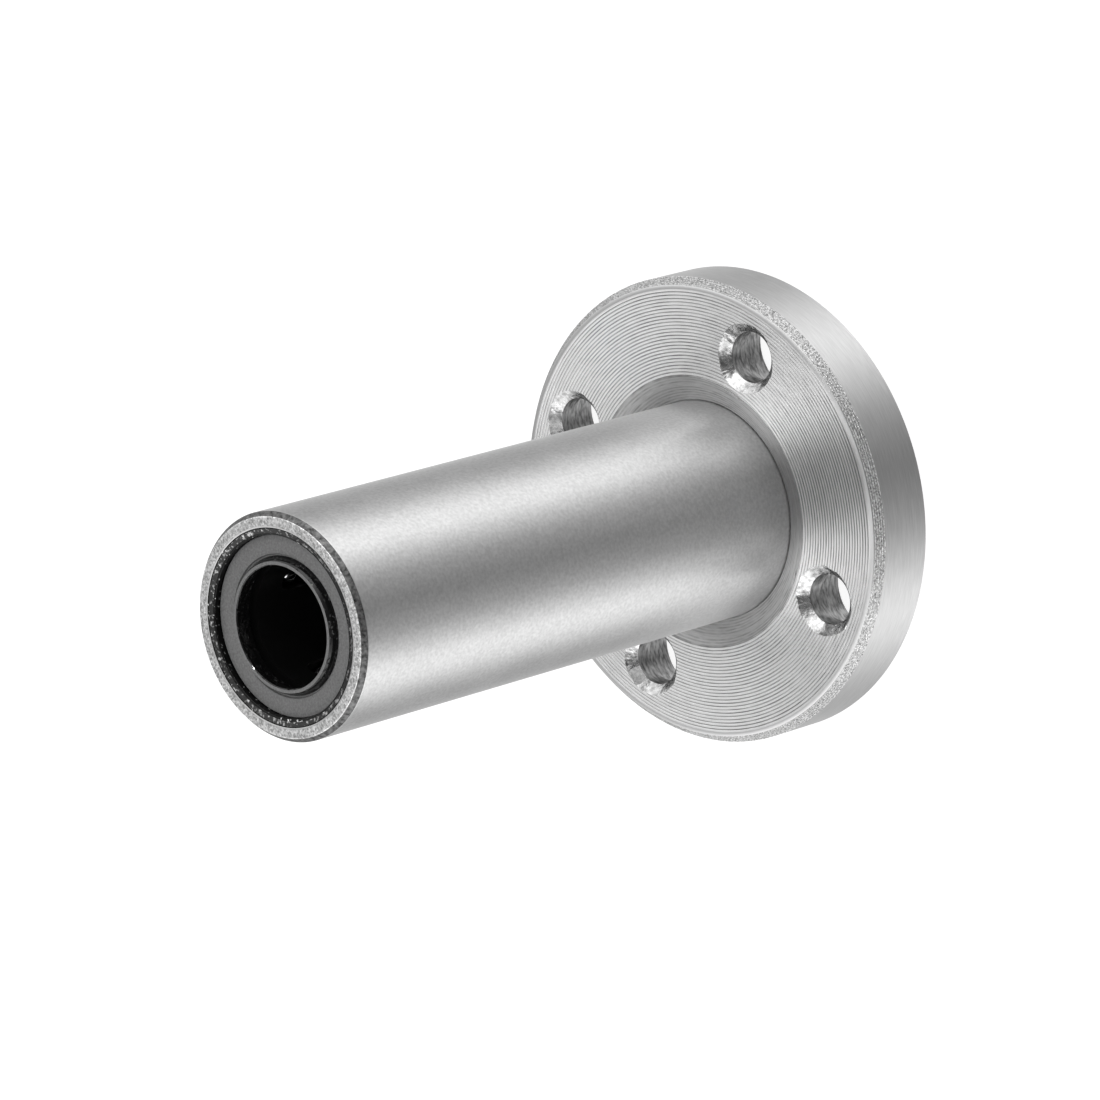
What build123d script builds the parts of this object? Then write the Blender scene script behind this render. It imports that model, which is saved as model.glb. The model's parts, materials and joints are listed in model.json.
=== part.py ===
from build123d import *
import math
import os

# Every length is in millimetres, and Z runs along the shaft: the flange's free face is z = 0, the nose is up

# Shaft and balls
shaft_d = 8.0
ball_d = 1.5
circuits = 4
first_row_angle = 45.0
row_spread = 36.0
return_lift = 0.44
ramp_l = 1.1

# Sleeve
sleeve_d = 15.0
sleeve_l = 45.0
seat_step = 0.3
end_chamfer_r = 0.33
end_chamfer_z = 0.4
lead_in_r = 0.48
lead_in_z = 0.2
land_w = 1.8
land_end_gap = 0.3

# Flange
flange_d = 32.0
flange_t = 5.0
relief_w = 1.8
relief_depth = 0.85
joint_w = 0.12
joint_depth = 0.25
front_rim_chamfer_r = 0.5
front_rim_chamfer_z = 0.65
rear_rim_chamfer = 0.2
rear_bore_chamfer = 0.25

# Flange bolt holes
bolt_edge = 4.0
bolt_count = 4
bolt_angle = 45.0
bolt_hole_d = 3.5
bolt_mouth_chamfer = 0.65
head_hole_d = 6.0
head_hole_depth = 3.1

# Seals
seal_sink = 0.6
seal_t = 1.0
lip_sink = 0.16
lip_w = 0.33
lip_land_l = 0.3
lip_flare = 0.27
lip_groove_w = 0.12
lip_groove_depth = 0.15
seal_back_gap = 0.35

# Snap rings
snap_t = 0.5
snap_w = 1.15
snap_groove_depth = 0.3
snap_opening = 40.0

# Ball cages
cage_bore_gap = 0.2
cage_land_gap = 0.1
cage_end_wall = 0.4

# Clearances
press_gap = 0.01
slot_gap = 0.02
track_gap = 0.05
race_gap = 0.005
return_gap = 0.03
ball_gap = 0.06

# Ball rows: the load row rolls on the shaft, and the return row is lifted clear of it, out to the bore
shaft_r = shaft_d / 2
ball_r = ball_d / 2
load_r = shaft_r + ball_r
return_r = load_r + return_lift
half_spread = math.radians(row_spread) / 2
turn_r = return_r * half_spread
circuit_step = 360.0 / circuits

# Sleeve and flange
sleeve_r = sleeve_d / 2
seat_r = sleeve_r - seat_step
bore_r = return_r + ball_r + return_gap
land_r = load_r + ball_r + race_gap
flange_r = flange_d / 2
relief_r = sleeve_r + relief_w
joint_r = sleeve_r + joint_w
seat_l = flange_t - relief_depth - joint_depth
flange_bore_r = seat_r + press_gap
bolt_circle_r = flange_r - bolt_edge
bolt_mouth_r = bolt_hole_d / 2 + bolt_mouth_chamfer
mid_plane = Plane.XY.offset(sleeve_l / 2)

# The bevels at a sleeve end are limited by its wall inside the flange
seat_wall = seat_r - bore_r
outer_bevel_r = min(end_chamfer_r, seat_wall / 3)
inner_bevel_r = min(lead_in_r, seat_wall / 2)

# Snap ring groove and cage, measured in from a sleeve end
snap_start = seal_sink + seal_t
snap_space = snap_t + 2 * slot_gap
groove_r = bore_r + snap_groove_depth
cage_start = snap_start + snap_space
cage_l = sleeve_l / 2 - cage_start - slot_gap
cage_inner_r = shaft_r + cage_bore_gap
cage_outer_r = land_r - cage_land_gap

# Ball track in the cage: half-widths from its middle line, its floor, and the slot under the load row
track_outer_w = turn_r + ball_r + track_gap
track_inner_w = load_r * math.sin(half_spread) - ball_r - track_gap
track_floor_r = return_r - ball_r - track_gap
slot_half_w = math.sqrt(ball_r**2 - (load_r - track_floor_r) ** 2) + track_gap

# Straight and turning stretches of one front ball circuit
turn_z_high = sleeve_l - cage_start - cage_end_wall - track_outer_w
turn_z_low = sleeve_l - cage_start - cage_l + cage_end_wall + track_outer_w
return_run = turn_z_high - turn_z_low
load_run = return_run - 2 * ramp_l
turn_run = math.pi * turn_r
loop_run = 2 * return_run + 2 * turn_run
balls_per_circuit = int(loop_run / (ball_d + ball_gap))


def row_angle(circuit):
    """Angle of a circuit's load row about the shaft, in degrees."""
    return first_row_angle + circuit * circuit_step


def track_point(travel):
    """Radius, angle past the load row and height of a ball that has gone this far round its circuit."""
    if travel < return_run:
        into_ramp = max(ramp_l - travel, travel - (return_run - ramp_l), 0.0) / ramp_l
        lift = into_ramp**2 * (3 - 2 * into_ramp)
        return load_r + (return_r - load_r) * lift, 0.0, turn_z_low + travel
    travel -= return_run
    if travel < turn_run:
        turned = travel / turn_r
        return return_r, half_spread * (1 - math.cos(turned)), turn_z_high + turn_r * math.sin(turned)
    travel -= turn_run
    if travel < return_run:
        return return_r, 2 * half_spread, turn_z_high - travel
    turned = (travel - return_run) / turn_r
    return return_r, half_spread * (1 + math.cos(turned)), turn_z_low - turn_r * math.sin(turned)


def ball_place(circuit, index):
    """Centre of one ball, with the balls spread evenly round the circuit."""
    radius, past_row, height = track_point(loop_run * index / balls_per_circuit)
    angle = math.radians(row_angle(circuit)) + past_row
    return Location((radius * math.cos(angle), radius * math.sin(angle), height))


# Outer sleeve: one ground tube, reduced at the rear for the flange's seat
sleeve_half = [
    (seat_r - outer_bevel_r, 0),
    (seat_r, end_chamfer_z),
    (seat_r, seat_l),
    (sleeve_r, seat_l),
    (sleeve_r, sleeve_l - end_chamfer_z),
    (sleeve_r - outer_bevel_r, sleeve_l),
    (bore_r + inner_bevel_r, sleeve_l),
    (bore_r, sleeve_l - lead_in_z),
    (bore_r, lead_in_z),
    (bore_r + inner_bevel_r, 0),
]
with BuildPart() as outer_sleeve:
    with BuildSketch(Plane.XZ):
        with BuildLine():
            Polyline(*sleeve_half, close=True)
        make_face()
    revolve(axis=Axis.Z)
    # Grooves for the two snap rings
    for groove_z in (snap_start, sleeve_l - snap_start - snap_space):
        with BuildSketch(Plane.XY.offset(groove_z)):
            Circle(groove_r)
        extrude(amount=snap_space, mode=Mode.SUBTRACT)
    # Raised lands that the loaded balls roll on
    land_l = load_run - 2 * land_end_gap
    front_land_z = turn_z_low + ramp_l + land_end_gap
    for land_z in (front_land_z, sleeve_l - front_land_z - land_l):
        with BuildSketch(Plane.XY.offset(land_z)):
            with PolarLocations(0, circuits, start_angle=first_row_angle):
                Rectangle(sleeve_r, land_w, align=(Align.MIN, Align.CENTER))
            Circle((bore_r + sleeve_r) / 2, mode=Mode.INTERSECT)
            Circle(land_r, mode=Mode.SUBTRACT)
        extrude(amount=land_l)

# Flange: one turned ring, seated against the sleeve's shoulder
flange_half = [
    (flange_bore_r + rear_bore_chamfer, 0),
    (flange_r - rear_rim_chamfer, 0),
    (flange_r, rear_rim_chamfer),
    (flange_r, flange_t - front_rim_chamfer_z),
    (flange_r - front_rim_chamfer_r, flange_t),
    (relief_r, flange_t),
    (joint_r, flange_t - relief_depth),
    (joint_r, seat_l),
    (flange_bore_r, seat_l),
    (flange_bore_r, rear_bore_chamfer),
]
free_face = Plane(origin=(0, 0, 0), x_dir=(1, 0, 0), z_dir=(0, 0, -1))
with BuildPart() as flange:
    with BuildSketch(Plane.XZ):
        with BuildLine():
            Polyline(*flange_half, close=True)
        make_face()
    revolve(axis=Axis.Z)
    # Bolt holes, with the bolt heads sunk in the free face
    with Locations(free_face):
        with PolarLocations(bolt_circle_r, bolt_count, start_angle=bolt_angle):
            CounterBoreHole(
                radius=bolt_hole_d / 2,
                counter_bore_radius=head_hole_d / 2,
                counter_bore_depth=head_hole_depth,
                depth=flange_t,
            )
    # Their mouths in the mounting face are bevelled at 45 degrees
    with Locations(Plane.XY.offset(flange_t)):
        with PolarLocations(bolt_circle_r, bolt_count, start_angle=bolt_angle):
            CounterSinkHole(
                radius=bolt_hole_d / 2,
                counter_sink_radius=bolt_mouth_r,
                depth=flange_t,
                counter_sink_angle=90,
            )

# Front seal: a rubber ring with a raised lip round the shaft
seal_face_z = sleeve_l - seal_sink
lip_z = sleeve_l - lip_sink
lip_outer_r = shaft_r + lip_w
lip_root_r = lip_outer_r + lip_flare
seal_outer_r = bore_r - press_gap
seal_back_r = shaft_r + seal_back_gap
seal_half = [
    (seal_outer_r, seal_face_z),
    (lip_root_r + lip_groove_w / 2, seal_face_z),
    (lip_root_r, seal_face_z - lip_groove_depth),
    (lip_root_r - lip_groove_w / 2, seal_face_z),
    (lip_outer_r, lip_z),
    (shaft_r, lip_z),
    (shaft_r, lip_z - lip_land_l),
    (seal_back_r, seal_face_z - seal_t / 2),
    (seal_back_r, seal_face_z - seal_t),
    (seal_outer_r, seal_face_z - seal_t),
]
with BuildPart() as front_seal:
    with BuildSketch(Plane.XZ):
        with BuildLine():
            Polyline(*seal_half, close=True)
        make_face()
    revolve(axis=Axis.Z)

# Front snap ring: an open spring ring in its groove, behind the seal
snap_outer_r = groove_r - slot_gap
snap_inner_r = snap_outer_r - snap_w
with BuildPart() as front_snap_ring:
    with BuildSketch(Plane.XY.offset(sleeve_l - snap_start - slot_gap - snap_t)):
        Circle(snap_outer_r)
        Circle(snap_inner_r, mode=Mode.SUBTRACT)
        gap_half_w = groove_r * math.tan(math.radians(snap_opening / 2))
        with BuildLine():
            Polyline((0, 0), (groove_r, gap_half_w), (groove_r, -gap_half_w), close=True)
        make_face(mode=Mode.SUBTRACT)
    extrude(amount=snap_t)

# Front cage: a moulded tube with one closed ball track for each circuit
cage_base = Plane.XY.offset(sleeve_l - cage_start - cage_l)
track_mid_z = (turn_z_high + turn_z_low) / 2


def radial_plane(angle):
    """Plane through the axis at the middle of the track, facing outward at an angle about the shaft."""
    facing = Vector(1, 0, 0).rotate(Axis.Z, angle)
    return Plane(origin=(0, 0, track_mid_z), x_dir=(0, 0, 1), z_dir=facing)


def track_groove(circuit):
    """The closed groove that one circuit's balls run round in, down to a round floor."""
    with BuildPart() as groove:
        with BuildSketch(radial_plane(row_angle(circuit) + row_spread / 2)):
            SlotOverall(return_run + 2 * track_outer_w, 2 * track_outer_w)
            SlotOverall(return_run + 2 * track_inner_w, 2 * track_inner_w, mode=Mode.SUBTRACT)
        extrude(amount=sleeve_r)
        with BuildSketch(cage_base):
            Circle(track_floor_r)
        extrude(amount=cage_l, mode=Mode.SUBTRACT)
    return groove.part


with BuildPart() as front_cage:
    with BuildSketch(cage_base):
        Circle(cage_outer_r)
        Circle(cage_inner_r, mode=Mode.SUBTRACT)
    extrude(amount=cage_l)
    for circuit in range(circuits):
        add(track_groove(circuit), mode=Mode.SUBTRACT)
        # Slot that lets the loaded row through to the shaft, narrower than a ball
        with BuildSketch(radial_plane(row_angle(circuit))):
            SlotOverall(return_run + 2 * slot_half_w, 2 * slot_half_w)
        extrude(amount=load_r, mode=Mode.SUBTRACT)

pieces = {
    "flange": flange.part,
    "outer_sleeve": outer_sleeve.part,
}

# The rear pieces are the front ones mirrored about the middle of the sleeve
for name, front_piece in (("seal", front_seal), ("snap_ring", front_snap_ring), ("cage", front_cage)):
    with BuildPart() as rear_piece:
        mirror(front_piece.part, about=mid_plane)
    pieces["front_" + name] = front_piece.part
    pieces["rear_" + name] = rear_piece.part

# Ball circuits: each is a ring of separate balls
for circuit in range(circuits):
    places = [ball_place(circuit, index) for index in range(balls_per_circuit)]
    with BuildPart() as front_balls:
        with Locations(*places):
            Sphere(ball_r)
    with BuildPart() as rear_balls:
        mirror(front_balls.part, about=mid_plane)
    pieces[f"front_balls_{circuit + 1}"] = front_balls.part
    pieces[f"rear_balls_{circuit + 1}"] = rear_balls.part

os.makedirs("parts", exist_ok=True)
for name, piece in pieces.items():
    piece.label = name
    export_step(piece, f"parts/{name}.step")
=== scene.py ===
"""Looks for the flanged linear bearing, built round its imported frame.

Every length is in metres. Z runs along the shaft: the flange's free face is z = 0 and the nose is up.
"""

import json
import math

import bpy
import numpy as np
from mathutils import Matrix, Vector


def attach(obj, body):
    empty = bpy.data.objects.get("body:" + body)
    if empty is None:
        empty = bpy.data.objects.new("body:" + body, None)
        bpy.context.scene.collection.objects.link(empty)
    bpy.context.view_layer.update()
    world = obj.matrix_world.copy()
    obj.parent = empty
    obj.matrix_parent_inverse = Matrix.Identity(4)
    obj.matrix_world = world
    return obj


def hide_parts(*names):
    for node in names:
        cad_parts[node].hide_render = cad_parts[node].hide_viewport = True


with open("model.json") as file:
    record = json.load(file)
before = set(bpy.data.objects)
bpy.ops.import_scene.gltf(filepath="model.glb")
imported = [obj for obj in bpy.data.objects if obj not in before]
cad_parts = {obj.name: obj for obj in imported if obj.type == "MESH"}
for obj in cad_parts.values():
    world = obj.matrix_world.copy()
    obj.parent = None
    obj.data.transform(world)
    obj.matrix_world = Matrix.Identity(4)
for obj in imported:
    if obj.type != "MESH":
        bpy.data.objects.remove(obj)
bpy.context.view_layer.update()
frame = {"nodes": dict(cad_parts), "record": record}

MM = 0.001

# Camera, from the photograph's own perspective
CAMERA_PLACE = Vector((-18.37, -318.73, 342.57)) * MM
CAMERA_AZIMUTH = -3.33
CAMERA_ELEVATION = 45.33
CAMERA_ROLL = 105.52
LENS = 225.27
SENSOR = 36.0
CLIP_START = 0.01
CLIP_END = 20

# Sizes that the pieces share
shaft_r = 4.0 * MM
bore_r = 5.97 * MM
sleeve_r = 7.5 * MM
sleeve_l = 45.0 * MM
flange_r = 16.0 * MM
flange_t = 5.0 * MM
bolt_circle_r = 12.0 * MM

# The bolt holes, and in line with them the load rows
bolt_angles = [math.radians(45 + 90 * k) for k in range(4)]

# Allowance for telling which side of a height or a radius a point or a face lies on
slack = 0.01 * MM


def mesh_object(name, points, faces, smooth=True):
    """A mesh object from points and faces."""
    mesh = bpy.data.meshes.new(name)
    mesh.from_pydata([tuple(p) for p in points], [], faces)
    mesh.update()
    mesh.polygons.foreach_set("use_smooth", [smooth] * len(mesh.polygons))
    piece = bpy.data.objects.new(name, mesh)
    bpy.context.scene.collection.objects.link(piece)
    return piece


def revolve(name, profile, segments, radius_at=None):
    """Turns a closed profile of (radius, height) points round Z. radius_at may vary a radius by angle."""
    points = []
    for i in range(segments):
        angle = 2 * math.pi * i / segments
        for r, z in profile:
            radius = radius_at(r, z, angle) if radius_at else r
            points.append((radius * math.cos(angle), radius * math.sin(angle), z))
    count = len(profile)
    faces = []
    for i in range(segments):
        here, there = i * count, (i + 1) % segments * count
        for j in range(count):
            k = (j + 1) % count
            faces.append((here + j, there + j, there + k, here + k))
    return mesh_object(name, points, faces)


def soften(profile, size, corners, steps=3, most=0.45):
    """Rounds the named corners of a closed profile over about size, and over at most a share of each side."""
    rounded = []
    count = len(profile)
    for i, here in enumerate(profile):
        if i not in corners:
            rounded.append(here)
            continue
        here, before, after = Vector(here), Vector(profile[i - 1]), Vector(profile[(i + 1) % count])
        start = here + (before - here).normalized() * min(size, (before - here).length * most)
        end = here + (after - here).normalized() * min(size, (after - here).length * most)
        for k in range(steps + 1):
            t = k / steps
            rounded.append(tuple(start * (1 - t) ** 2 + here * 2 * t * (1 - t) + end * t**2))
    return rounded


def waver(seed, counts, size, weakest=0.3):
    """A smooth uneven function of angle, for an edge left by a worn tool: waves of these counts a turn."""
    phases = np.random.default_rng(seed)
    waves = [(k, phases.uniform(weakest, 1), phases.uniform(0, 2 * math.pi)) for k in counts]
    scale = size / math.sqrt(len(waves))
    return lambda angle: scale * sum(a * math.sin(k * angle + p) for k, a, p in waves)


def cut(piece, cutter):
    """Subtracts one mesh from another and removes the cutter."""
    modifier = piece.modifiers.new("cut", "BOOLEAN")
    modifier.operation = "DIFFERENCE"
    modifier.solver = "EXACT"
    modifier.object = cutter
    bpy.context.view_layer.objects.active = piece
    bpy.ops.object.modifier_apply(modifier=modifier.name)
    bpy.data.objects.remove(cutter, do_unlink=True)


# Nodes that the materials and the light share

def add_node(tree, kind, settings=None, **inputs):
    """Adds a node with its settings and input values."""
    node = tree.nodes.new(kind)
    for key, value in (settings or {}).items():
        setattr(node, key, value)
    for key, value in inputs.items():
        node.inputs[key.replace("_", " ")].default_value = value
    return node


def shader_of(material):
    """The material's Principled shader."""
    return material.node_tree.nodes["Principled BSDF"]


def new_material(name, grey, roughness, metallic=0.0):
    """A Principled material with its plain numbers on the sockets."""
    material = bpy.data.materials.new(name)
    material.use_nodes = True
    shader = shader_of(material)
    shader.inputs["Base Color"].default_value = (grey, grey, grey, 1)
    shader.inputs["Roughness"].default_value = roughness
    shader.inputs["Metallic"].default_value = metallic
    return material


def new_steel(name, grey, roughness):
    """A bare metal material."""
    return new_material(name, grey, roughness, metallic=1.0)


def object_noise(material, scale, detail, stretch=(1, 1, 1)):
    """Noise in the object's own space, stretched along its axes."""
    tree = material.node_tree
    place = add_node(tree, "ShaderNodeTexCoord")
    mapping = add_node(tree, "ShaderNodeMapping", Scale=stretch)
    noise = add_node(tree, "ShaderNodeTexNoise", Scale=scale, Detail=detail)
    tree.links.new(place.outputs["Object"], mapping.inputs["Vector"])
    tree.links.new(mapping.outputs["Vector"], noise.inputs["Vector"])
    return noise.outputs["Fac"]


def turned_noise(material, radial, around, along):
    """Noise drawn out round Z, as a lathe leaves it, with its rates by radius, round Z and by height."""
    tree = material.node_tree
    link = tree.links.new
    place = add_node(tree, "ShaderNodeTexCoord")
    flat = add_node(tree, "ShaderNodeVectorMath", {"operation": "MULTIPLY"})
    flat.inputs[1].default_value = (1, 1, 0)
    radius = add_node(tree, "ShaderNodeVectorMath", {"operation": "LENGTH"})
    facing = add_node(tree, "ShaderNodeVectorMath", {"operation": "NORMALIZE"})
    slow = add_node(tree, "ShaderNodeVectorMath", {"operation": "SCALE"}, Scale=around)
    height = add_node(tree, "ShaderNodeSeparateXYZ")
    across = add_node(tree, "ShaderNodeMath", {"operation": "MULTIPLY"})
    across.inputs[1].default_value = radial
    total = add_node(tree, "ShaderNodeMath", {"operation": "MULTIPLY_ADD"})
    total.inputs[1].default_value = along
    lift = add_node(tree, "ShaderNodeCombineXYZ")
    both = add_node(tree, "ShaderNodeVectorMath", {"operation": "ADD"})
    noise = add_node(tree, "ShaderNodeTexNoise", Scale=1, Detail=3)
    link(place.outputs["Object"], flat.inputs[0])
    link(flat.outputs["Vector"], radius.inputs[0])
    link(flat.outputs["Vector"], facing.inputs[0])
    link(facing.outputs["Vector"], slow.inputs[0])
    link(place.outputs["Object"], height.inputs[0])
    link(radius.outputs["Value"], across.inputs[0])
    link(height.outputs["Z"], total.inputs[0])
    link(across.outputs["Value"], total.inputs[2])
    link(total.outputs["Value"], lift.inputs["Z"])
    link(slow.outputs["Vector"], both.inputs[0])
    link(lift.outputs["Vector"], both.inputs[1])
    link(both.outputs["Vector"], noise.inputs["Vector"])
    return noise.outputs["Fac"]


def ranged(material, source, start, end, low, high):
    """Maps a value that goes from start to end onto one that goes from low to high."""
    tree = material.node_tree
    node = add_node(tree, "ShaderNodeMapRange", From_Min=start, From_Max=end, To_Min=low, To_Max=high)
    tree.links.new(source, node.inputs["Value"])
    return node.outputs["Result"]


def vary(material, source, socket, low, high, start=0.3, end=0.7):
    """Lets a noise vary a colour or the roughness from low to high, as it goes from start to end."""
    value = ranged(material, source, start, end, low, high)
    material.node_tree.links.new(value, shader_of(material).inputs[socket])


def bump(material, height, distance, strength):
    """Adds bump from a height, on top of the bump that the material already has."""
    tree = material.node_tree
    normal = shader_of(material).inputs["Normal"]
    node = add_node(tree, "ShaderNodeBump", Distance=distance, Strength=strength)
    tree.links.new(height, node.inputs["Height"])
    if normal.is_linked:
        tree.links.new(normal.links[0].from_socket, node.inputs["Normal"])
    tree.links.new(node.outputs["Normal"], normal)


def radial_shine(material, amount):
    """Highlights drawn out across the turning marks."""
    quarter_turn = 0.25
    shader = shader_of(material)
    shader.inputs["Anisotropic"].default_value = amount
    shader.inputs["Anisotropic Rotation"].default_value = quarter_turn
    tangent = add_node(material.node_tree, "ShaderNodeTangent", {"direction_type": "RADIAL", "axis": "Z"})
    material.node_tree.links.new(tangent.outputs["Tangent"], shader.inputs["Tangent"])


# Materials

def ground_steel():
    """Hardened steel, ground satin, with a fine grain and faint marks round it."""
    material = new_steel("ground_steel", grey=0.63, roughness=0.365)
    radial_shine(material, amount=0.75)
    grain = object_noise(material, scale=7000, detail=3)
    marks = turned_noise(material, radial=0, around=4, along=3500)
    bump(material, grain, distance=0.006 * MM, strength=0.5)
    bump(material, marks, distance=0.004 * MM, strength=0.3)
    vary(material, object_noise(material, scale=4500, detail=4), "Base Color", low=0.56, high=0.7)
    vary(material, object_noise(material, scale=400, detail=4), "Roughness", low=0.34, high=0.39)
    return material


def turned_steel(name, low, high, mark):
    """Turned steel: the broad grooves are in the mesh, and the fine marks between them are here."""
    material = new_steel(name, grey=(low + high) / 2, roughness=0.4)
    radial_shine(material, amount=0.85)
    marks = turned_noise(material, radial=14000, around=5, along=14000)
    grain = object_noise(material, scale=6000, detail=2)
    bump(material, marks, distance=mark, strength=0.5)
    bump(material, grain, distance=0.006 * MM, strength=0.4)
    tones = turned_noise(material, radial=9000, around=12, along=9000)
    vary(material, tones, "Base Color", low=low, high=high)
    return material


def groove_shade_steel():
    """The bottoms of the turned face's grooves and the dark sides of the cone's rings: painted shade, a
    darker steel colour.
    """
    material = new_steel("groove_shade_steel", grey=0.45, roughness=0.4)
    radial_shine(material, amount=0.6)
    marks = turned_noise(material, radial=14000, around=12, along=14000)
    shade_tones = turned_noise(material, radial=3000, around=9, along=3000)
    bump(material, marks, distance=0.008 * MM, strength=0.5)
    vary(material, shade_tones, "Base Color", low=0.32, high=0.56)
    return material


def rough_steel():
    """Steel torn by the tool, on the rim's bevel: broken ridges of light and dark round it."""
    material = new_steel("rough_steel", grey=0.5, roughness=0.36)
    radial_shine(material, amount=0.4)
    tears = turned_noise(material, radial=8000, around=110, along=-8000)
    grain = object_noise(material, scale=9000, detail=3)
    tones = turned_noise(material, radial=9000, around=120, along=-9000)
    bump(material, tears, distance=0.05 * MM, strength=0.9)
    bump(material, grain, distance=0.01 * MM, strength=0.6)
    vary(material, tones, "Base Color", low=0.26, high=0.8, start=0.35, end=0.65)
    return material


def highlight_steel():
    """Narrow edges with a painted highlight: a light steel colour, on a smoother finish."""
    material = new_steel("highlight_steel", grey=0.85, roughness=0.3)
    bump(material, object_noise(material, scale=5000, detail=3), distance=0.01 * MM, strength=0.6)
    return material


def edge_steel():
    """The nose's outer bevel: dull dark steel with lighter crumbs."""
    material = new_steel("edge_steel", grey=0.25, roughness=0.5)
    bump(material, object_noise(material, scale=6000, detail=4), distance=0.04 * MM, strength=0.8)
    vary(material, object_noise(material, scale=3800, detail=4), "Base Color", low=0.04, high=0.24)
    return material


def mouth_steel():
    """The bevelled mouths of the bolt holes: bright, in uneven patches."""
    material = new_steel("mouth_steel", grey=0.62, roughness=0.26)
    tones = object_noise(material, scale=3000, detail=4)
    bump(material, object_noise(material, scale=1100, detail=2), distance=0.15 * MM, strength=0.7)
    bump(material, object_noise(material, scale=7000, detail=2), distance=0.03 * MM, strength=0.6)
    vary(material, tones, "Base Color", low=0.42, high=0.78, start=0.35, end=0.65)
    return material


def shaded_hole_steel():
    """Drilled steel with marks round the hole, darker in colour: painted shade in the hole."""
    material = new_steel("shaded_hole_steel", grey=0.32, roughness=0.45)
    marks = object_noise(material, scale=5000, detail=3, stretch=(0.1, 0.1, 1))
    grain = object_noise(material, scale=5000, detail=2)
    tones = object_noise(material, scale=5000, detail=4, stretch=(0.35, 0.35, 1))
    bump(material, marks, distance=0.025 * MM, strength=0.5)
    bump(material, grain, distance=0.01 * MM, strength=0.5)
    vary(material, tones, "Base Color", low=0.16, high=0.5, start=0.34, end=0.66)
    return material


def nose_steel():
    """The nose's ground end face, bright and finely pitted."""
    material = new_steel("nose_steel", grey=0.8, roughness=0.45)
    tones = object_noise(material, scale=6500, detail=4)
    bump(material, object_noise(material, scale=6000, detail=4), distance=0.05 * MM, strength=0.9)
    bump(material, object_noise(material, scale=1500, detail=2), distance=0.1 * MM, strength=0.4)
    vary(material, tones, "Base Color", low=0.38, high=1.0, start=0.35, end=0.65)
    return material


def bore_shade_glint_steel():
    """The sleeve's bore: painted shade, a near-black steel colour, with painted glints, bright specks where
    oil beads would shine.
    """
    material = new_steel("bore_shade_glint_steel", grey=0.02, roughness=0.25)
    glinting_beads = object_noise(material, scale=3600, detail=1)
    bump(material, object_noise(material, scale=4500, detail=3), distance=0.06 * MM, strength=0.9)
    # Bright specks in the colour are painted glints
    vary(material, glinting_beads, "Base Color", low=0.02, high=0.9, start=0.66, end=0.73)
    return material


def speck_shade_steel():
    """A band of the nose's inner bevel in painted shade with painted glints: a dark steel colour with bright
    specks.
    """
    material = new_steel("speck_shade_steel", grey=0.2, roughness=0.35)
    specks = object_noise(material, scale=4200, detail=3)
    bump(material, object_noise(material, scale=4000, detail=3), distance=0.05 * MM, strength=0.9)
    vary(material, specks, "Base Color", low=0.06, high=0.8, start=0.54, end=0.72)
    return material


def seal_rubber():
    """Matte grey rubber."""
    material = new_material("seal_rubber", grey=0.15, roughness=0.65)
    bump(material, object_noise(material, scale=9000, detail=2), distance=0.01 * MM, strength=0.5)
    vary(material, object_noise(material, scale=7000, detail=3), "Base Color", low=0.115, high=0.185)
    return material


def shaded_lip_rubber():
    """The lip's flanks: glossy, with a film of oil that stands in beads, and black in colour: painted shade.
    """
    material = new_material("shaded_lip_rubber", grey=0.006, roughness=0.12)
    film = object_noise(material, scale=3400, detail=1)
    glinting_beads = ranged(material, film, start=0.58, end=0.72, low=0, high=1)
    bump(material, glinting_beads, distance=0.1 * MM, strength=0.9)
    return material


def cage_plastic():
    """Black moulded acetal."""
    material = new_material("cage_plastic", grey=0.004, roughness=0.35)
    bump(material, object_noise(material, scale=3000, detail=2), distance=0.008 * MM, strength=0.4)
    return material


def spring_steel():
    """Dark spring steel."""
    material = new_steel("spring_steel", grey=0.2, roughness=0.4)
    bump(material, object_noise(material, scale=3000, detail=2), distance=0.01 * MM, strength=0.4)
    return material


def ball_steel():
    """Polished bearing steel."""
    material = new_steel("ball_steel", grey=0.7, roughness=0.06)
    bump(material, object_noise(material, scale=2000, detail=2), distance=0.002 * MM, strength=0.2)
    return material


finishes = {
    "flange_steel": turned_steel("turned_steel", low=0.58, high=0.67, mark=0.004 * MM),
    "sleeve_steel": ground_steel(),
    "seal_rubber": seal_rubber(),
    "spring_steel": spring_steel(),
    "cage_plastic": cage_plastic(),
    "ball_steel": ball_steel(),
}
bore_shade_glint_finish = bore_shade_glint_steel()
shaded_lip_finish = shaded_lip_rubber()
nose_finish = nose_steel()
edge_finish = edge_steel()
highlight_finish = highlight_steel()
groove_shade_finish = groove_shade_steel()
# The grooved face: a lighter copy of the turned steel, painted light
lit_face_finish = turned_steel("lit_face_steel", low=0.88, high=1.0, mark=0.008 * MM)
# The recessed cone: a darker copy of the turned steel, painted shade
shaded_cone_finish = turned_steel("shaded_cone_steel", low=0.5, high=0.62, mark=0.008 * MM)
speck_shade_finish = speck_shade_steel()
rough_finish = rough_steel()
mouth_finish = mouth_steel()
shaded_hole_finish = shaded_hole_steel()


def dress(piece, slot, *more):
    """Gives a new piece its materials, the first one chosen by its slot, and its body."""
    piece.data.materials.clear()
    for material in (finishes[slot], *more):
        piece.data.materials.append(material)
    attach(piece, "root")


def index_of(piece, material):
    """The place of a material in a piece's list."""
    return piece.data.materials.find(material.name)


def paint(piece, material, test):
    """Gives a material to the faces whose radius, height, outward slope and upward slope pass a test."""
    index = index_of(piece, material)
    for face in piece.data.polygons:
        x, y, z = face.center
        radius = math.hypot(x, y)
        outward = (face.normal.x * x + face.normal.y * y) / radius
        if test(radius, z, outward, face.normal.z):
            face.material_index = index


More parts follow.
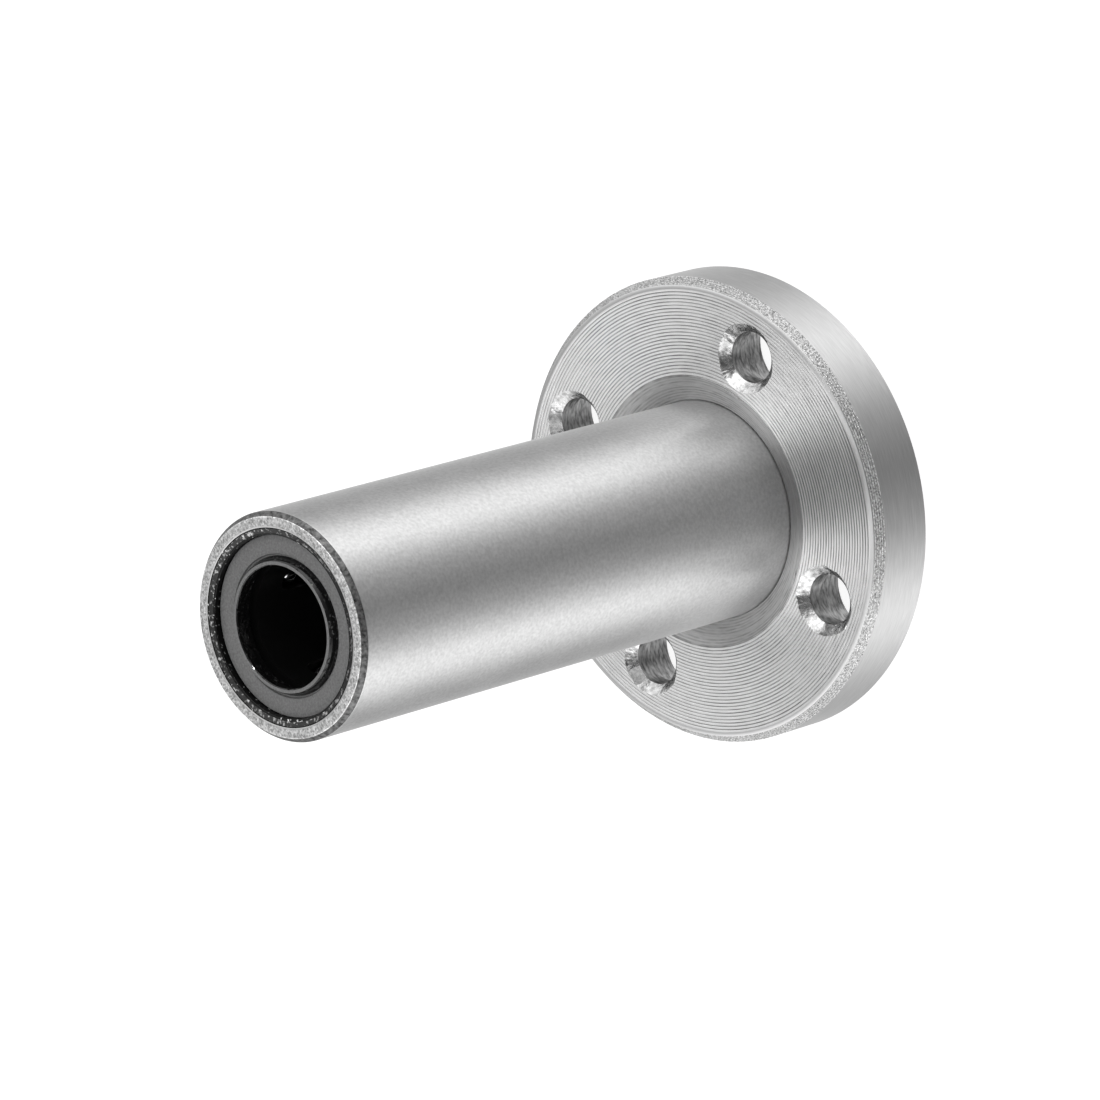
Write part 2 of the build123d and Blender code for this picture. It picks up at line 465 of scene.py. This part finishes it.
# Sleeve
seat_step = 0.3 * MM
seat_l = 3.9 * MM
end_chamfer_r = 0.33 * MM
end_chamfer_z = 0.4 * MM
lead_in_r = 0.57 * MM
lead_in_z = 0.2 * MM
lead_in_bands = (0.22, 0.75)
snap_start = 1.6 * MM
snap_space = 0.54 * MM
groove_r = 6.27 * MM
land_r = 5.505 * MM
land_w = 1.8 * MM
front_land = (26.16 * MM, 38.74 * MM)
edge_softness = 0.05 * MM
nose_seed = 3
nose_unevenness = 0.02 * MM
nose_waves = range(9, 60)
sleeve_segments = 256

# The profile's points on the lands are set in by this much, which marks them for sleeve_radius
land_mark = 0.001 * MM

seat_r = sleeve_r - seat_step
lead_in_top_r = bore_r + lead_in_r
bore_profile = [
    (bore_r, lead_in_z),
    (bore_r, snap_start),
    (groove_r, snap_start),
    (groove_r, snap_start + snap_space),
    (bore_r, snap_start + snap_space),
]
rear_land = (sleeve_l - front_land[1], sleeve_l - front_land[0])
sleeve_profile = [
    (seat_r - end_chamfer_r, 0),
    (seat_r, end_chamfer_z),
    (seat_r, seat_l),
    (sleeve_r, seat_l),
    (sleeve_r, sleeve_l - end_chamfer_z),
    (sleeve_r - end_chamfer_r, sleeve_l),
    (lead_in_top_r, sleeve_l),
]
for share in lead_in_bands:
    sleeve_profile.append((bore_r + lead_in_r * (1 - share), sleeve_l - lead_in_z * share))
sleeve_profile += [(r, sleeve_l - z) for r, z in bore_profile]
for low, high in (front_land, rear_land):
    sleeve_profile += [(bore_r, high), (bore_r - land_mark, high), (bore_r - land_mark, low), (bore_r, low)]
sleeve_profile += reversed(bore_profile)
sleeve_profile.append((lead_in_top_r, 0))

# The bevel's two edges at the nose, and the lead-in's two, by their places in the profile
nose_corners = [4, 5, 6, 9]
sleeve_profile = soften(sleeve_profile, edge_softness, nose_corners)
nose_waver = waver(nose_seed, nose_waves, nose_unevenness)


def sleeve_radius(r, z, angle):
    """The sleeve's radius, with uneven edges at the nose and raised lands in the bore over the load rows."""
    if z > sleeve_l - slack:
        return r + nose_waver(angle)
    if r < bore_r - land_mark / 2:
        turn = min(abs((angle - row + math.pi) % (2 * math.pi) - math.pi) for row in bolt_angles)
        if turn * bore_r < land_w / 2:
            return land_r
    return r


sleeve = revolve("sleeve", sleeve_profile, sleeve_segments, sleeve_radius)
dress(sleeve, "sleeve_steel", bore_shade_glint_finish, nose_finish, edge_finish, speck_shade_finish, highlight_finish)

# Where the sleeve's finishes meet
bevel_low_z = sleeve_l - end_chamfer_z + slack
nose_low_z = sleeve_l - 0.06 * MM
nose_inner_r = lead_in_top_r - 0.04 * MM
nose_outer_r = sleeve_r - end_chamfer_r + 0.04 * MM
speck_band_low_r = bore_r + 0.12 * MM
speck_band_high_r = lead_in_top_r - 0.1 * MM
# Where the painted highlight runs at the nose's inner edge
highlight_low_z = sleeve_l - 0.05 * MM
highlight_half_w = 0.045 * MM


def on_inner_edge(r, z, out, up):
    """The painted highlight along the line where the nose's end face meets the lead-in."""
    return z > highlight_low_z and abs(r - lead_in_top_r) < highlight_half_w


paint(sleeve, edge_finish, lambda r, z, out, up: z > bevel_low_z)
paint(sleeve, nose_finish, lambda r, z, out, up: z > nose_low_z and nose_inner_r < r < nose_outer_r)
# The bore inside the lead-in gets painted shade
paint(sleeve, bore_shade_glint_finish, lambda r, z, out, up: r < nose_inner_r)
# A band of the lead-in gets painted shade with painted glints
paint(sleeve, speck_shade_finish, lambda r, z, out, up: speck_band_low_r < r < speck_band_high_r and z > sleeve_l / 2)
paint(sleeve, highlight_finish, on_inner_edge)
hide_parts("outer_sleeve")

# Flange
relief_r = 9.3 * MM
relief_depth = 0.85 * MM
joint_r = 7.59 * MM
rim_chamfer_r = 0.5 * MM
rim_chamfer_z = 0.65 * MM
rear_rim_chamfer = 0.2 * MM
flange_bore_r = 7.21 * MM
rear_bore_chamfer = 0.25 * MM
bolt_hole_r = 1.75 * MM
bolt_mouth_r = 2.4 * MM
head_hole_r = 3.0 * MM
head_hole_depth = 3.1 * MM
hole_segments = 72
chatter_size = 0.08 * MM
chatter_segments = 3
cutter_over = 0.5 * MM
ridges = 5
ridge_depth = 0.04 * MM
edge_land = 0.28 * MM
edge_drop = 0.04 * MM
groove_pitch = 0.23 * MM
groove_depth = 0.05 * MM
cone_rings = 9
ring_depth = 0.016 * MM
flange_segments = 320

# The share of its width, and of its drop, at which the land round the face bends
edge_bend = 0.35

# Shares of the pitch and of the depth, from the outer crest of a groove inward
GROOVE_SHAPE = ((0.15, 0.06), (0.5, 0.1), (0.62, 0.3), (0.81, 1))

# How the depths of the grooves and of the cone's rings vary
GROOVE_DRAW = (0.8, 1.1)
RING_DRAW = (0.3, 1)
turning_seed = 7
draw = np.random.default_rng(turning_seed)

# Rim, with the torn ridges of its bevel
bevel_z = flange_t - rim_chamfer_z
bevel_r = flange_r - rim_chamfer_r
rim_corner = Vector((flange_r, bevel_z))
face_corner = Vector((bevel_r, flange_t - edge_drop))
bevel_in = Vector((-rim_chamfer_z, -rim_chamfer_r)).normalized() * ridge_depth
flange_profile = [
    (flange_bore_r + rear_bore_chamfer, 0),
    (flange_r - rear_rim_chamfer, 0),
    (flange_r, rear_rim_chamfer),
    (flange_r, bevel_z),
]
for ridge in range(1, 2 * ridges):
    point = rim_corner.lerp(face_corner, ridge / (2 * ridges))
    flange_profile.append(tuple(point + bevel_in * (ridge % 2)))

# Face, with its grooves
groove_outer = bevel_r - edge_land
groove_count = round((groove_outer - relief_r) / groove_pitch)
flange_profile.append(tuple(face_corner))
flange_profile.append((bevel_r - edge_land * edge_bend, flange_t - edge_drop * edge_bend))
flange_profile.append((groove_outer, flange_t))
for groove in range(groove_count):
    outer = groove_outer - (groove_outer - relief_r) * groove / groove_count
    inner = groove_outer - (groove_outer - relief_r) * (groove + 1) / groove_count
    depth = groove_depth * draw.uniform(*GROOVE_DRAW)
    for share, dip in GROOVE_SHAPE:
        flange_profile.append((outer + (inner - outer) * share, flange_t - dip * depth))
    flange_profile.append((inner, flange_t))

# Cone down to the sleeve, with its rings, and the bore
cone_top = Vector((relief_r, flange_t))
cone_foot = Vector((joint_r, flange_t - relief_depth))
cone_in = Vector((relief_depth, joint_r - relief_r)).normalized() * ring_depth
for ring in range(1, 2 * cone_rings):
    point = cone_top.lerp(cone_foot, ring / (2 * cone_rings))
    flange_profile.append(tuple(point + cone_in * (ring % 2) * draw.uniform(*RING_DRAW)))
flange_profile += [
    (joint_r, flange_t - relief_depth),
    (joint_r, seat_l),
    (flange_bore_r, seat_l),
    (flange_bore_r, rear_bore_chamfer),
]
flange = revolve("flange_ring", flange_profile, flange_segments)


def hole_cutter(angle):
    """The shape that one bolt hole takes away: head hole, through hole and bevelled mouth, left uneven."""
    rings = [
        (head_hole_r, -cutter_over),
        (head_hole_r, head_hole_depth),
        (bolt_hole_r, head_hole_depth),
        (bolt_hole_r, flange_t - (bolt_mouth_r - bolt_hole_r)),
        (bolt_mouth_r + cutter_over, flange_t + cutter_over),
    ]
    chatters = draw.uniform(-chatter_size, chatter_size, hole_segments // chatter_segments)
    points = [(0, 0, -cutter_over), (0, 0, flange_t + cutter_over)]
    first = len(points)
    for r, z in rings:
        for i in range(hole_segments):
            turn = 2 * math.pi * i / hole_segments
            on_mouth = r > bolt_hole_r and z > head_hole_depth
            chatter = chatters[i // chatter_segments] if on_mouth else 0
            points.append(((r + chatter) * math.cos(turn), (r + chatter) * math.sin(turn), z))
    faces = []
    for ring in range(len(rings) - 1):
        a, b = first + ring * hole_segments, first + (ring + 1) * hole_segments
        for i in range(hole_segments):
            j = (i + 1) % hole_segments
            faces.append((a + i, a + j, b + j, b + i))
    last = first + (len(rings) - 1) * hole_segments
    for i in range(hole_segments):
        j = (i + 1) % hole_segments
        faces.append((0, first + j, first + i))
        faces.append((1, last + i, last + j))
    centre = Vector((bolt_circle_r * math.cos(angle), bolt_circle_r * math.sin(angle), 0))
    return mesh_object("hole", [Vector(p) + centre for p in points], faces)


for angle in bolt_angles:
    cut(flange, hole_cutter(angle))
edge_finishes = [rough_finish, shaded_hole_finish, mouth_finish, highlight_finish]
dress(flange, "flange_steel", *edge_finishes, groove_shade_finish, lit_face_finish, shaded_cone_finish)

# Where the flange's finishes meet
groove_low = flange_t - groove_depth
groove_top = flange_t - 0.25 * groove_depth
edge_low = flange_t - edge_drop

# The cone's facets that lean inward more than this are the dark sides of its rings, which get painted shade
steep = -0.49


def on_face(r, z):
    """The grooved face, from its crests to the bottoms of its grooves."""
    return relief_r < r < groove_outer and z > groove_low


# The grooved face gets the lighter copy: painted light
paint(flange, lit_face_finish, lambda r, z, out, up: on_face(r, z))
# The bottoms of the grooves get painted shade
paint(flange, groove_shade_finish, lambda r, z, out, up: on_face(r, z) and z < groove_top)
# The recessed cone gets the darker copy: painted shade
paint(flange, shaded_cone_finish, lambda r, z, out, up: r < relief_r and z > seat_l + slack)
paint(flange, groove_shade_finish, lambda r, z, out, up: joint_r < r < relief_r and z > seat_l and out < steep)
paint(flange, rough_finish, lambda r, z, out, up: z > bevel_z + slack and r > bevel_r + slack)
# The land round the face's outer edge gets a painted highlight
paint(flange, highlight_finish, lambda r, z, out, up: z > edge_low and groove_outer < r < bevel_r)

# The bolt holes' walls, in painted shade, and mouths, with the mouths' facets left sharp
hole_reach = 1.001 * head_hole_r
hole_top_z = flange_t - 0.04 * MM
mouth_low_z = flange_t - (bolt_mouth_r - bolt_hole_r)
bolt_places = [(bolt_circle_r * math.cos(a), bolt_circle_r * math.sin(a)) for a in bolt_angles]
for face in flange.data.polygons:
    x, y, z = face.center
    nearest = min(math.hypot(x - bolt_x, y - bolt_y) for bolt_x, bolt_y in bolt_places)
    if nearest < hole_reach and slack < z < hole_top_z:
        on_mouth = z > mouth_low_z
        face.material_index = index_of(flange, mouth_finish if on_mouth else shaded_hole_finish)
        face.use_smooth = not on_mouth
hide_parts("flange")

# Seals
seal_face_z = 44.4 * MM
seal_back_z = 43.4 * MM
seal_outer_r = 5.96 * MM
seal_edge = 0.06 * MM
seal_back_r = 4.35 * MM
seal_back_step_z = 43.9 * MM
lip_z = 44.84 * MM
lip_outer_r = 4.33 * MM
lip_root_r = 4.6 * MM
lip_land_l = 0.3 * MM
lip_flare_r = 0.08 * MM
lip_flare_l = 0.2 * MM
lip_edge_l = 0.05 * MM
moat_depth = 0.12 * MM
moat_outer = 0.1 * MM
moat_inner = 0.09 * MM
moat_floor = 0.04 * MM
seal_segments = 192

moat_z = seal_face_z - moat_depth
seal_outline = [
    (seal_outer_r, seal_face_z - seal_edge),
    (seal_outer_r - seal_edge, seal_face_z),
    (lip_root_r + moat_outer, seal_face_z),
    (lip_root_r + moat_floor, moat_z),
    (lip_root_r - moat_floor, moat_z),
    (lip_root_r - moat_inner, seal_face_z),
    (lip_outer_r + lip_flare_r, lip_z - lip_flare_l),
    (lip_outer_r, lip_z - lip_edge_l),
    (lip_outer_r - seal_edge, lip_z),
    (shaft_r + seal_edge, lip_z),
    (shaft_r, lip_z - seal_edge),
    (shaft_r, lip_z - lip_land_l),
    (seal_back_r, seal_back_step_z),
    (seal_back_r, seal_back_z),
    (seal_outer_r, seal_back_z),
]
seals = []

# The lip is glossy and black, in painted shade, inside this radius, apart from the faces that look straight
# up or down
lip_paint_r = lip_root_r - 0.05 * MM
flat_slope = 0.95
for side in ("front", "rear"):
    outline = seal_outline
    if side == "rear":
        outline = [(r, sleeve_l - z) for r, z in reversed(seal_outline)]
    seal = revolve(side + "_seal_ring", outline, seal_segments)
    dress(seal, "seal_rubber", shaded_lip_finish)
    paint(seal, shaded_lip_finish, lambda r, z, out, up: r < lip_paint_r and abs(up) < flat_slope)
    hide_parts(side + "_seal")
    seals.append(seal)

# Finishes of the pieces that stay as the frame gives them
for row in frame["record"]["subparts"]:
    node = frame["nodes"].get(row["node"])
    if node:
        for slot in node.material_slots:
            slot.material = finishes[row["material_slot"]]

# Smooth sides and sharp edges on the turned pieces
EDGE_ANGLE = math.radians(32)
for piece in (sleeve, flange, *seals):
    piece.data.set_sharp_from_angle(angle=EDGE_ANGLE)


# Floor and light
FLOOR_HALF = 3.0
FLOOR_GLOW = 0.9
FLOOR_GREY = 0.3


def show_floor():
    """A pale floor that shows white, with the object's shadow, and is seen through from below."""
    corners = [(x * FLOOR_HALF, y * FLOOR_HALF, 0) for x, y in ((-1, -1), (1, -1), (1, 1), (-1, 1))]
    floor = mesh_object("floor", corners, [(0, 1, 2, 3)], smooth=False)
    material = bpy.data.materials.new("floor")
    material.use_nodes = True
    tree = material.node_tree
    link = tree.links.new
    tree.nodes.clear()
    output = add_node(tree, "ShaderNodeOutputMaterial")
    path = add_node(tree, "ShaderNodeLightPath")
    geometry = add_node(tree, "ShaderNodeNewGeometry")
    clear = add_node(tree, "ShaderNodeBsdfTransparent")
    white = add_node(tree, "ShaderNodeEmission", Strength=FLOOR_GLOW)
    pale = add_node(tree, "ShaderNodeBsdfDiffuse", Color=(FLOOR_GREY, FLOOR_GREY, FLOOR_GREY, 1))
    both = add_node(tree, "ShaderNodeAddShader")
    above = add_node(tree, "ShaderNodeMath", {"operation": "SUBTRACT", "use_clamp": True})
    mix = add_node(tree, "ShaderNodeMixShader")
    link(path.outputs["Is Camera Ray"], above.inputs[0])
    link(geometry.outputs["Backfacing"], above.inputs[1])
    link(white.outputs[0], both.inputs[0])
    link(pale.outputs[0], both.inputs[1])
    link(above.outputs[0], mix.inputs[0])
    link(clear.outputs[0], mix.inputs[1])
    link(both.outputs[0], mix.inputs[2])
    link(mix.outputs[0], output.inputs["Surface"])
    floor.data.materials.append(material)


# Brightness round the studio, by angle from the camera's side (0 to 180 degrees), low down and higher up
STUDIO_LOW = [
    (0, 0.3),
    (24, 0.46),
    (44, 0.85),
    (60, 1.42),
    (78, 1.28),
    (94, 0.66),
    (114, 0.34),
    (148, 0.55),
    (180, 1.3),
]
STUDIO_HIGH = [
    (0, 0.08),
    (26, 0.2),
    (48, 1.0),
    (60, 2.0),
    (80, 1.95),
    (100, 1.2),
    (148, 1.15),
    (164, 0.48),
    (180, 0.28),
]
BRIGHTEST = 2.0

# Degrees by which the studio is turned from the camera's side
SIDE_TURN = -5

# Heights of a ray between which the low panels give way to the high ones, and those to the crown overhead
LOW_TO_HIGH = (-0.5, 0.1)
HIGH_TO_CROWN = (0.86, 0.97)
CROWN_GREY = 0.45
PLAIN_LEVEL = 0.95


def studio_ramp(tree, source, stops):
    """A smooth ramp of grey over 180 degrees, scaled to reach past white."""
    ramp = add_node(tree, "ShaderNodeValToRGB")
    ramp.color_ramp.interpolation = "EASE"
    while len(ramp.color_ramp.elements) > 1:
        ramp.color_ramp.elements.remove(ramp.color_ramp.elements[-1])
    for index, (degrees, grey) in enumerate(stops):
        position = degrees / 180
        stop = ramp.color_ramp.elements[0] if index == 0 else ramp.color_ramp.elements.new(position)
        stop.position = position
        stop.color = (grey / BRIGHTEST, grey / BRIGHTEST, grey / BRIGHTEST, 1)
    tree.links.new(source, ramp.inputs["Fac"])
    scale = add_node(tree, "ShaderNodeVectorMath", {"operation": "SCALE"}, Scale=BRIGHTEST)
    tree.links.new(ramp.outputs["Color"], scale.inputs[0])
    return scale.outputs[0]


def height_mix(tree, height, ends):
    """A mix of two colours that goes from the first to the second as a ray's height goes between two ends."""
    rise = add_node(tree, "ShaderNodeMapRange", From_Min=ends[0], From_Max=ends[1])
    mix = add_node(tree, "ShaderNodeMix", {"data_type": "RGBA"})
    tree.links.new(height, rise.inputs["Value"])
    tree.links.new(rise.outputs["Result"], mix.inputs["Factor"])
    return mix


def light_studio():
    """White behind everything, even light on what is matte, and panels with dark gaps for metal to show."""
    world = bpy.data.worlds.new("studio")
    bpy.context.scene.world = world
    world.use_nodes = True
    tree = world.node_tree
    link = tree.links.new
    tree.nodes.clear()

    # The angle between a ray's level direction and the camera's side, as a share of half a turn
    side = Vector((CAMERA_PLACE.x, CAMERA_PLACE.y, 0)).normalized()
    place = add_node(tree, "ShaderNodeTexCoord")
    parts = add_node(tree, "ShaderNodeSeparateXYZ")
    flat = add_node(tree, "ShaderNodeCombineXYZ")
    level = add_node(tree, "ShaderNodeVectorMath", {"operation": "NORMALIZE"})
    toward = add_node(tree, "ShaderNodeVectorMath", {"operation": "DOT_PRODUCT"})
    toward.inputs[1].default_value = Matrix.Rotation(math.radians(SIDE_TURN), 3, "Z") @ side
    turn = add_node(tree, "ShaderNodeMath", {"operation": "ARCCOSINE"})
    share = add_node(tree, "ShaderNodeMath", {"operation": "DIVIDE"})
    share.inputs[1].default_value = math.pi
    link(place.outputs["Generated"], parts.inputs[0])
    link(parts.outputs["X"], flat.inputs["X"])
    link(parts.outputs["Y"], flat.inputs["Y"])
    link(flat.outputs[0], level.inputs[0])
    link(level.outputs[0], toward.inputs[0])
    link(toward.outputs["Value"], turn.inputs[0])
    link(turn.outputs[0], share.inputs[0])

    # The panels, low and high, and the crown overhead
    low = studio_ramp(tree, share.outputs[0], STUDIO_LOW)
    high = studio_ramp(tree, share.outputs[0], STUDIO_HIGH)
    panels = height_mix(tree, parts.outputs["Z"], LOW_TO_HIGH)
    link(low, panels.inputs["A"])
    link(high, panels.inputs["B"])
    overhead = height_mix(tree, parts.outputs["Z"], HIGH_TO_CROWN)
    overhead.inputs["B"].default_value = (CROWN_GREY, CROWN_GREY, CROWN_GREY, 1)
    link(panels.outputs["Result"], overhead.inputs["A"])

    # What each kind of ray sees
    studio = add_node(tree, "ShaderNodeBackground")
    white = add_node(tree, "ShaderNodeBackground", Color=(1, 1, 1, 1))
    plain = add_node(tree, "ShaderNodeBackground", Color=(PLAIN_LEVEL, PLAIN_LEVEL, PLAIN_LEVEL, 1))
    path = add_node(tree, "ShaderNodeLightPath")
    shown = add_node(tree, "ShaderNodeMixShader")
    seen = add_node(tree, "ShaderNodeMath", {"operation": "MAXIMUM"})
    choose = add_node(tree, "ShaderNodeMixShader")
    output = add_node(tree, "ShaderNodeOutputWorld")
    link(overhead.outputs["Result"], studio.inputs["Color"])
    link(path.outputs["Is Glossy Ray"], shown.inputs[0])
    link(plain.outputs[0], shown.inputs[1])
    link(studio.outputs[0], shown.inputs[2])
    link(path.outputs["Is Camera Ray"], seen.inputs[0])
    link(path.outputs["Is Transmission Ray"], seen.inputs[1])
    link(seen.outputs[0], choose.inputs[0])
    link(shown.outputs[0], choose.inputs[1])
    link(white.outputs[0], choose.inputs[2])
    link(choose.outputs[0], output.inputs["Surface"])


# Narrow lamps, each with its name, place, size and power, and the radius that they light at the nose
SPARKLES = [
    ("sparkle_high", (-0.05, -0.2, 0.6), 0.03, 12.0),
    ("sparkle_side", (0.35, -0.25, 0.4), 0.02, 10.0),
]
SPOT_R = 6.2 * MM
SPOT_BLEND = 0.3


def hang_lamps():
    """Lamps aimed into the nose alone, for the glints on the balls, the lip and the oil."""
    nose = Vector((0, 0, sleeve_l))
    for name, place, size, power in SPARKLES:
        data = bpy.data.lights.new(name, "SPOT")
        data.shadow_soft_size = size
        data.energy = power
        data.spot_size = 2 * math.atan(SPOT_R / (Vector(place) - nose).length)
        data.spot_blend = SPOT_BLEND
        lamp = bpy.data.objects.new(name, data)
        bpy.context.scene.collection.objects.link(lamp)
        lamp.location = place
        lamp.rotation_euler = (nose - Vector(place)).to_track_quat("-Z", "Y").to_euler()


def place_camera():
    """The photograph's view: the bearing lies across it, so the camera is rolled."""
    data = bpy.data.cameras.new("camera")
    data.lens = LENS
    data.sensor_width = SENSOR
    data.clip_start = CLIP_START
    data.clip_end = CLIP_END
    camera = bpy.data.objects.new("camera", data)
    bpy.context.scene.collection.objects.link(camera)
    swing = Matrix.Rotation(math.radians(CAMERA_AZIMUTH), 4, "Z")
    tilt = Matrix.Rotation(math.radians(90 - CAMERA_ELEVATION), 4, "X")
    roll = Matrix.Rotation(math.radians(-CAMERA_ROLL), 4, "Z")
    camera.matrix_world = Matrix.Translation(CAMERA_PLACE) @ swing @ tilt @ roll
    bpy.context.scene.camera = camera


show_floor()
light_studio()
hang_lamps()
place_camera()
bpy.context.scene.view_settings.view_transform = "Standard"
